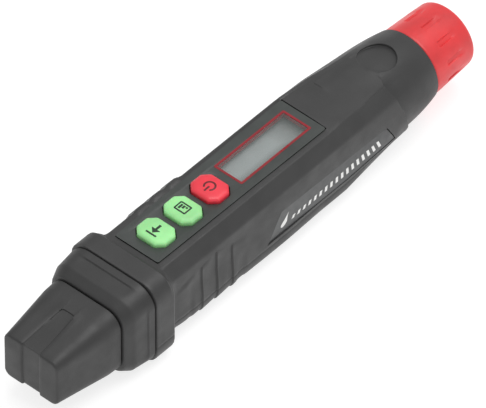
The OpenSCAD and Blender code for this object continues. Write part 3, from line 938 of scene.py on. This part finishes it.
def nose_ring(x, inset, sunk, front_sunk=0.0):
    """The right half of a ring: the recess's columns are sunk towards the axis, and front_sunk along it."""
    half, tall, corner = sizes_at(NOSE_SIZES, x)
    half, tall, corner = half - inset, tall - inset, max(corner - inset, 0.4)
    edge = min(recess_half(x), half - corner - 0.5)
    points = []
    plain = nose_columns(half, tall, corner, edge)
    for col, (y, z) in enumerate(plain):
        rank = min(col, len(plain) - 1 - col)
        share = 1.0 if rank <= RECESS_COLS else 0.2 if rank == RECESS_COLS + 1 else 0.0
        if rank <= RECESS_COLS:
            y = edge * sin(pi / 2 * rank / RECESS_COLS)
        depth = sunk * share * (RECESS_TOP_SHARE if z > 0 else 1.0)
        points.append([x + front_sunk * share, y, z - copysign(depth, z)])
    return points


def recess_bow(col, last, x):
    """How far a ring bends forwards beside the recess, so that the recess ends in a half circle."""
    rank = min(col, last - col)
    if rank > RECESS_COLS + 2:
        return 0.0
    radius = recess_half(RECESS_END)
    across = sin(pi / 2 * min(rank, RECESS_COLS) / RECESS_COLS)
    bend = 0.5 * radius * (1 - (1 - across ** 4) ** 0.25)
    if x < RECESS_END:
        return bend * smooth((x - 9.5) / (RECESS_END - 9.5))
    return bend * (1 - smooth((x - RECESS_END - 0.3) / 5.0))


def nose_front(rim):
    """The crowned front, as columns that run from the rim's top to its bottom."""
    last = len(rim) - 1
    rows = NOSE_COUNTS[5]
    half = max(p[1] for p in rim)
    tall = max(p[2] for p in rim)
    grid = []
    for col in range(NOSE_SIDE_COL + 1):
        top, bottom = rim[col], rim[last - col]
        sunk = RECESS_DEPTH * 0.7 * (1.0 if col <= RECESS_COLS else 0.2 if col == RECESS_COLS + 1 else 0.0)
        line = [top]
        for row in range(1, rows):
            y = blend(top[1], bottom[1], row / rows)
            z = blend(top[2], bottom[2], row / rows)
            bulge = (1 - (y / half) ** 2) * (1 - (z / tall) ** 2)
            line.append([CROWN * (1 - bulge) + sunk, y, z])
        line.append(bottom)
        grid.append(line)
    grid[-1] = rim[NOSE_SIDE_COL:last - NOSE_SIDE_COL + 1]
    return grid


def nose_cap():
    """The pull-off cap: a crowned front, a U-shaped recess round its front, and its hollow inside."""
    rings = []
    for step in range(5):
        angle = pi / 2 * step / 4
        x = CROWN + (NOSE_EDGE_R - CROWN) * (1 - cos(angle))
        inset = NOSE_EDGE_R * 0.7 * (1 - sin(angle))
        sunk = RECESS_DEPTH * sin(angle) + 0.25 * RECESS_DEPTH * cos(angle)
        rings.append(nose_ring(x, inset, sunk, RECESS_DEPTH * 0.7 * cos(angle)))
    body = stations([NOSE_EDGE_R, RECESS_END, RECESS_END + 0.15, CAP_REAR - 0.45, CAP_REAR - 0.3], 1.2)[1:]
    for x in body:
        ring = nose_ring(x, 0.0, RECESS_DEPTH if x <= RECESS_END else 0.0)
        last = len(ring) - 1
        for col, point in enumerate(ring):
            point[0] -= recess_bow(col, last, x)
        rings.append(ring)
    for back, inset in NOSE_RIM:
        rings.append(nose_ring(CAP_REAR - back, inset, 0.0))
    for x, half, tall, corner in NOSE_HOLLOW:
        rings.append([[x, y, z] for y, z in nose_columns(half, tall, corner, 2.2)])
    points, faces = [], []
    for mirror in (1, -1):
        grids = [np.array(rings), np.array(nose_front(rings[0]))]
        for grid in grids:
            start = len(points)
            rows, cols = grid.shape[:2]
            points += [(x, mirror * y, z) for x, y, z in grid.reshape(-1, 3)]
            faces += [[start + i * cols + j, start + (i + 1) * cols + j, start + (i + 1) * cols + j + 1,
                       start + i * cols + j + 1] for i in range(rows - 1) for j in range(cols - 1)]
    floor = [(x, y, z) for x, y, z in rings[-1]]
    floor += [(x, -y, z) for x, y, z in rings[-1][-2:0:-1]]
    start = len(points)
    points += floor + [(floor[0][0], 0.0, 0.0)]
    faces += [[start + k, start + (k + 1) % len(floor), start + len(floor)] for k in range(len(floor))]
    finish_piece(mesh_of(points, faces), "nose_cap", "pin_cap", "nose_black", ["pin_cap"])


COLLAR_SIZES = ((0.0, 14.6, 12.9, -13.2, 5.6), (3.6, 16.0, 14.6, -15.2, 6.2), (11.6, 16.8, 15.5, -16.1, 6.8))
COLLAR_LENGTH, RIM_BAND = 11.6, 2.8
COLLAR_BORE = (12.65, 10.85, 4.1)
FACET = 0.34


def collar():
    """The flared collar behind the nose cap, with shallow facets in front of its rim band."""
    length = COLLAR_LENGTH
    band = length - RIM_BAND
    spots = [(0.0, 0.5), (0.06, 0.28), (0.2, 0.1), (0.5, 0.0)]
    steps = stations([0.5, 3.0, 4.2, band - 0.1, band + 0.3, band + 0.5, length - 0.3], 0.8)
    spots += [(s, 0.0) for s in steps[1:]]
    spots += [(length - 0.15, 0.04), (length - 0.04, 0.16), (length, 0.34)]
    rings = []
    for s, inset in spots:
        half, top, bottom, corner = sizes_at(COLLAR_SIZES, s)
        ring = closed_section(COLLAR_FRONT + s, half - inset, top - inset, bottom + inset, corner)
        sunk = FACET * smooth((s - 3.0) / (band - 3.0)) if s < band else 0.0
        points = []
        for x, y, z in ring:
            flat_y = smooth((half - corner + 1.0 - abs(y)) / 0.5)
            flat_z = smooth((min(top - corner + 1.0 - z, z - bottom - corner + 1.0)) / 0.8)
            if abs(z) > 9 and flat_y > 0:
                z -= copysign(sunk * flat_y, z)
            elif flat_z > 0:
                y -= copysign(sunk * flat_z, y)
            points.append((x, y, z))
        rings.append(points)
    half, tall, corner = COLLAR_BORE
    for s in (length, 0.0):
        rings.append(closed_section(COLLAR_FRONT + s, half, tall, -tall, corner))
    finish_piece(tube_mesh(rings, capped=False), "collar", "housing", "nose_black", ["front_collar"])


# ---------- face panel, display and buttons ----------


def octagon(x, size, corner, soft, grow=0.0):
    """An octagonal outline round x whose corners are softened."""
    a, b = size[0] / 2 + grow, size[1] / 2 + grow
    c = corner + grow * 0.6
    corners = [(a, b - c), (a - c, b), (c - a, b), (-a, b - c)]
    corners += [(-u, -v) for u, v in corners]
    return rounded_loop(corners, soft, 4) + np.array([x, 0.0])


def rectangle(x0, x1, half, soft, rear=None):
    """A rectangle with rounded corners, or one that ends at another half width."""
    rear = rear or half
    return rounded_loop([(x0, half), (x1, rear), (x1, -rear), (x0, -half)], soft, 5)


BUTTON_SIZE = (9.4, 11.6)
BUTTON_CORNER, BUTTON_SOFT, BUTTON_GAP = 2.4, 1.2, 0.3


def face_panel():
    loops = [rectangle(PANEL_FRONT + 0.05, PANEL_REAR - 0.25, 8.51, 0.6, 8.96)]
    loops += [octagon(x, BUTTON_SIZE, BUTTON_CORNER, BUTTON_SOFT, BUTTON_GAP) for x in BUTTON_X]
    low, high = span("lcd_frame", 0)
    loops.append(rectangle(low - 0.1, high + 0.1, span("lcd_frame", 1)[1] + 0.1, 0.5))
    plate("panel", loops, PANEL_LOW, PANEL_TOP, 0.12, "housing", "panel_grey", ["face_panel"])


def display():
    low, high = span("lcd_frame", 0)
    half = span("lcd_frame", 1)[1]
    band = 0.65
    frame_loops = [rectangle(low, high, half, 0.45), rectangle(low + band, high - band, half - band, 0.25)]
    top = span("lcd_frame", 2)[1]
    plate("display_trim", frame_loops, PANEL_LOW, top, 0.08, "housing", "trim_red", ["lcd_frame"])
    low, high = span("lcd_window", 0)
    plate("display_window", [rectangle(low, high, span("lcd_window", 1)[1], 0.2)], span("lcd_window", 2)[0],
          span("lcd_window", 2)[1], 0.06, "housing", "window_clear", ["lcd_window"])


# Inset and rise above the panel of the key's side and crowned top
KEY_CROWN = ((0.0, 0.5), (0.08, 0.85), (0.3, 1.12), (0.62, 1.33), (0.95, 1.46), (1.25, 1.53), (2.0, 1.6),
             (3.2, 1.67), (4.2, 1.695))


def button(name, x, slot):
    """A crowned key top with a soft bevel, a skirt, and the flange that holds it in."""
    flange = span(name, 2)[0]
    profile = [(-0.55, flange), (-0.55, flange + 1.0), (0.0, flange + 1.05)]
    profile += [(inset, PANEL_TOP + rise) for inset, rise in KEY_CROWN]
    base = octagon(0.0, BUTTON_SIZE, BUTTON_CORNER, BUTTON_SOFT)
    a, b = BUTTON_SIZE[0] / 2, BUTTON_SIZE[1] / 2
    rings = []
    for inset, z in profile:
        rings.append([(x + px * (a - inset) / a, py * (b - inset) / b, z) for px, py in base])
    finish_piece(tube_mesh(rings), name + "_key", name, slot, [name], sharp=50)


ICON_LOW, ICON_TOP = BUTTON_TOP - 0.14, BUTTON_TOP


def icon(name, key, loops, material):
    """An icon on a key, from outlines (right, up), where up is towards the nose."""
    turned = [[(BUTTON_X[key] - up, right) for right, up in loop] for loop in loops]
    plate(name, turned, ICON_LOW, ICON_TOP, 0.01, BUTTONS[key], KEY_SLOTS[key], material=material)


def bar(x0, x1, y0, y1):
    return [(x0, y0), (x1, y0), (x1, y1), (x0, y1)]


def arc_band(radius, width, start, end, count=24):
    """A band along an arc, from start to end in degrees clockwise from straight up."""
    angles = [radians(start + (end - start) * k / count) for k in range(count + 1)]
    outside = [((radius + width / 2) * sin(a), (radius + width / 2) * cos(a)) for a in angles]
    inside = [((radius - width / 2) * sin(a), (radius - width / 2) * cos(a)) for a in reversed(angles)]
    return outside + inside


def key_icons():
    line = 0.62
    arrow = [(-1.75, -0.1), (0.0, 1.7), (1.75, -0.1), (0.42, -0.1), (0.42, -2.2), (-0.42, -2.2), (-0.42, -0.1)]
    icon("icon_hold_top", 0, [arrow, bar(-2.0, 2.0, 1.95, 2.55)], INK_DARK)
    box = rounded_loop([(-2.3, 1.9), (2.3, 1.9), (2.3, -1.9), (-2.3, -1.9)], 0.5, 4)
    window = rounded_loop([(-1.75, 1.35), (1.75, 1.35), (1.75, -1.35), (-1.75, -1.35)], 0.15, 3)
    steps = [bar(-1.4 + 1.0 * k, -0.6 + 1.0 * k, -1.0, -0.3 + 0.65 * k) for k in range(3)]
    icon("icon_mode", 1, [box, window, *steps], INK_DARK)
    ring = arc_band(1.75, line, 38, 322)
    icon("icon_power", 2, [ring, bar(-line / 2, line / 2, 0.2, 2.5)], INK_RED)


# ---------- side label ----------

LABEL_TOP_SINK, LABEL_THICK = 0.14, 0.4
# At the label's front end and its rear end: X and Z of its upper corner, and slope of its end
LABEL_X, LABEL_Z, LABEL_SLOPE = (97.65, 145.2), (2.3, 1.6), (7.0 / 9.2, 5.1 / 8.5)


def label_point(u, v, sink):
    """A point of the label: u along it, v up it, both 0 to 1."""
    z = LABEL_LOW + 0.1 + v * (blend(*LABEL_Z, u) - LABEL_LOW - 0.2)
    front = LABEL_X[0] - (LABEL_Z[0] - z) * LABEL_SLOPE[0]
    rear = LABEL_X[1] + (LABEL_Z[1] - z) * LABEL_SLOPE[1]
    x = blend(front, rear, u)
    share = roundness(x, NEAR, False)
    y_flat = along(BODY_HALF, x)
    radius = tail_radius(x)
    y_round = sqrt(max(radius * radius - z * z, 0))
    y = y_flat * (1 - share) + y_round * share
    return (x, -(y - sink), z)


def label():
    across, up = 48, 12
    faces = [[[label_point(i / across, j / up, sink) for j in range(up + 1)] for i in range(across + 1)]
             for sink in (LABEL_TOP_SINK, LABEL_TOP_SINK + LABEL_THICK)]
    mesh = shell_mesh(np.array(faces[0]), np.array(faces[1]))
    finish_piece(mesh, "label_film", "housing", "label_grey", ["side_label"], sharp=40)


LABEL_LENGTH, LABEL_HEIGHT = 48.0, 8.4


def label_graphic(name, grids):
    """Printed shapes on the label, from grids of (along, up) places in mm from its low front corner."""
    tool = bmesh.new()
    for grid in grids:
        layers = [[[label_point(a / LABEL_LENGTH, b / LABEL_HEIGHT, depth) for a, b in row] for row in grid]
                  for depth in (LABEL_TOP_SINK - 0.04, LABEL_TOP_SINK + 0.06)]
        mesh = shell_mesh(np.array(layers[0]), np.array(layers[1]))
        tool.from_mesh(mesh)
        bpy.data.meshes.remove(mesh)
    whole = bpy.data.meshes.new(name)
    tool.to_mesh(whole)
    tool.free()
    finish_piece(whole, name, "housing", "label_grey", material=INK_WHITE)


def label_graphics():
    """A water drop, and a row of bars that grow along the label."""
    middle, low, tip, radius = 4.6, 2.0, 6.2, 1.15
    drop = []
    for j in range(17):
        height = low + (tip - low) * (1 - cos(pi * j / 16)) / 2
        rise = height - low - radius
        if rise < 0:
            half = sqrt(max(radius ** 2 - rise ** 2, 0))
        else:
            half = radius * (1 - rise / (tip - low - radius)) ** 1.3
        drop.append([(middle + max(half, 0.04) * side, height) for side in (-1, -0.5, 0, 0.5, 1)])
    label_graphic("label_drop", [drop])
    bars = []
    for k in range(17):
        x, tall = 8.0 + k * 2.15, 1.2 + 0.12 * k
        bars.append([[(x + 0.95 * i / 2, 2.3 + tall * j / 6) for i in range(3)] for j in range(7)])
    label_graphic("label_bars", bars)


# ---------- tail cap ----------

SLOTS = 11
SLOT_TURN = radians(-6.3)
SLOT_START, SLOT_END, SLOT_HALF, SLOT_DEPTH, SLOT_WALL = 176.9, 185.5, 1.05, 0.5, 0.3
THREAD_PITCH, THREAD_DEPTH, THREAD_R = 2.0, 0.42, 11.3
GRIP_R = 12
CAP_FRONT = HOUSING_REAR + 0.3
CAP_PROFILE = ((CAP_FRONT, 11.75), (CAP_FRONT + 0.05, 12.05), (CAP_FRONT + 0.2, 12.28),
               (CAP_FRONT + 0.45, 12.38), (175.0, 12.3), (180, 12.05), (185, 11.8), (188.6, 11.55),
               (189.1, 11.42), (189.5, 11.15), (189.85, 10.7), (TAIL_END, 10.1))


def cap_columns():
    """Angles round the cap: fine steps at each slot's walls and even ones over its floor and the lands."""
    angles = []
    pitch = 2 * pi / SLOTS
    half, wall = SLOT_HALF / GRIP_R, SLOT_WALL / GRIP_R
    for k in range(SLOTS):
        middle = SLOT_TURN + pitch * k
        angles += [middle - half, middle - half + wall / 2, middle - half + wall]
        angles += [middle - half / 3, middle + half / 3]
        angles += [middle + half - wall, middle + half - wall / 2, middle + half]
        angles += [middle + half + (pitch - 2 * half) * j / 6 for j in range(1, 6)]
    return angles


def slot_depth(angle, radius, x):
    """Depth of the shallow grip slots, with soft walls all round."""
    pitch = 2 * pi / SLOTS
    offset = ((angle - SLOT_TURN + pitch / 2) % pitch - pitch / 2) * GRIP_R
    side = smooth((SLOT_HALF - abs(offset)) / SLOT_WALL)
    end = smooth((x - SLOT_START) / SLOT_WALL) * smooth((SLOT_END - x) / 5)
    return SLOT_DEPTH * side * end


def tail_cap():
    """The battery cap: a threaded plug with a seal groove, and a round-edged grip with shallow slots."""
    angles = cap_columns()
    front = span("tail_cap", 0)[0]
    spots = [(front, 0.3), (front, 10.4), (front + 0.25, 10.75)]
    spots += [(x, THREAD_R) for x in np.arange(front + 0.5, front + 5.1, 0.25)]
    spots += [(front + 5.4, 10.75), (front + 6.6, 10.75), (front + 6.7, 11.2), (CAP_FRONT - 0.02, 11.2)]
    slot_marks = [SLOT_START, SLOT_START + SLOT_WALL / 2, SLOT_START + SLOT_WALL, SLOT_END]
    outside = stations([row[0] for row in CAP_PROFILE] + slot_marks, 0.8)
    spots += [(x, along(CAP_PROFILE, x)) for x in outside]
    spots += [(TAIL_END - 0.05, 8.4), (TAIL_END - 0.35, 7.8), (TAIL_END - 0.4, 4.0), (TAIL_END - 0.4, 0.3)]
    rings = []
    for x, radius in spots:
        ring = []
        for angle in angles:
            r = radius
            if front + 0.4 < x < front + 5.2:
                phase = (x / THREAD_PITCH - angle / (2 * pi)) % 1.0
                r -= THREAD_DEPTH * abs(2 * phase - 1) * min((x - front - 0.3) / 0.5, 1.0)
            if x > 174 and radius > 9.3:
                r -= slot_depth(angle, radius, x)
            ring.append((x, r * sin(angle), r * cos(angle)))
        rings.append(ring)
    finish_piece(tube_mesh(rings), "battery_cap", "tail_cap", "cap_red", ["tail_cap"], sharp=40)


housing()
nose_cap()
collar()
face_panel()
display()
for key_name, key_x, key_slot in zip(BUTTONS, BUTTON_X, KEY_SLOTS):
    button(key_name, key_x, key_slot)
key_icons()
label()
label_graphics()
tail_cap()

# ---------- camera, floor and light ----------

AZIMUTH, ELEVATION = radians(-48.5), radians(45.85)
PHOTO_WIDTH_M, LENS, SENSOR = 0.1467, 850.0, 36.0
TARGET = Vector((0.00075, 0.0, 0.0141))


def make_camera():
    camera = add_object("camera", bpy.data.cameras.new("camera"))
    camera.data.lens = LENS
    camera.data.sensor_width = SENSOR
    camera.data.clip_start = 0.1
    camera.data.clip_end = 100
    back = Vector((sin(AZIMUTH) * cos(ELEVATION), -cos(AZIMUTH) * cos(ELEVATION),
                   sin(ELEVATION)))
    camera.location = TARGET + back * PHOTO_WIDTH_M * LENS / SENSOR
    camera.rotation_euler = (-back).to_track_quat("-Z", "Y").to_euler()
    bpy.context.scene.camera = camera


def make_floor():
    mesh = bpy.data.meshes.new("floor")
    size = 3.0
    corners = [(-size, -size, 0), (size, -size, 0), (size, size, 0), (-size, size, 0)]
    mesh.from_pydata(corners, [], [(0, 1, 2, 3)])
    floor = add_object("floor", mesh)
    n = Nodes("floor_pale")
    n.tint(n.noise(60.0), linear("#adadad"), linear("#a6a6a6"))
    n.settle({"Roughness": 0.9, "Specular IOR Level": 0.0, "Emission Color": WHITE, "Emission Strength": 0.75})
    mesh.materials.append(n.material)


def area_light(name, place, aim, size, power):
    lamp = bpy.data.lights.new(name, "AREA")
    lamp.shape = "DISK"
    lamp.size = size
    lamp.energy = power
    obj = add_object(name, lamp)
    obj.location = place
    obj.rotation_euler = (Vector(aim) - Vector(place)).to_track_quat("-Z", "Y").to_euler()


def make_light():
    world = bpy.data.worlds.new("studio")
    bpy.context.scene.world = world
    world.use_nodes = True
    world.node_tree.nodes["Background"].inputs["Color"].default_value = WHITE
    world.node_tree.nodes["Background"].inputs["Strength"].default_value = 0.6
    area_light("key", (0.35, -0.8, 0.55), (0, 0, 0.01), 0.7, 0.2)
    area_light("top", (0.2, -0.1, 0.95), (0, 0, 0.01), 0.9, 5.5)
    bpy.context.scene.view_settings.view_transform = "Standard"


make_camera()
make_floor()
make_light()
